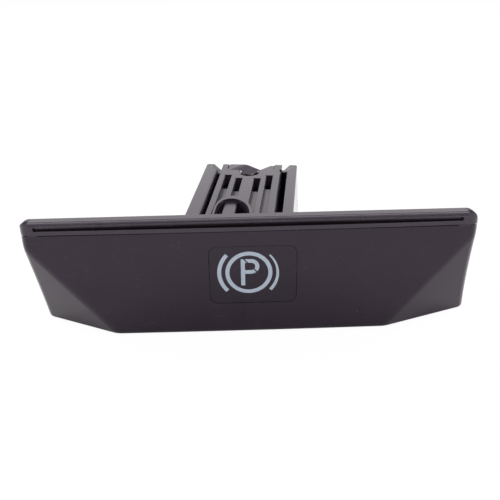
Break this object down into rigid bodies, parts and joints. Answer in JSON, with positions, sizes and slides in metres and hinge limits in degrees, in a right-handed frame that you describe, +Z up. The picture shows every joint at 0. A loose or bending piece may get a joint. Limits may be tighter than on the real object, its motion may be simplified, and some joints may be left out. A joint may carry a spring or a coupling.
{
  "type": "handbrake handle",
  "caption": "Black plastic pull handle for a parking brake: wide wedge grip with bevelled ends, printed parking symbol and a ribbed stem behind it.",
  "frame": {"origin": "middle of the flat underside of the grip, which it stands on", "axes": "+X along the grip to the right as seen from the front, +Y back from the face towards the stem, +Z up"},
  "size_m": [0.1316, 0.0589, 0.0382],
  "materials": {
    "body_plastic": "satin black",
    "cover_plastic": "fine-grained satin black",
    "insert_plastic": "satin black",
    "symbol_print": "pale grey print"
  },
  "bodies": {
    "root": {"handle_body": "body_plastic", "front_cover": "cover_plastic", "symbol_plate": "insert_plastic", "symbol_ring": "symbol_print", "symbol_bracket_left": "symbol_print", "symbol_bracket_right": "symbol_print", "symbol_p_stem": "symbol_print", "symbol_p_bowl": "symbol_print"}
  },
  "joints": []
}
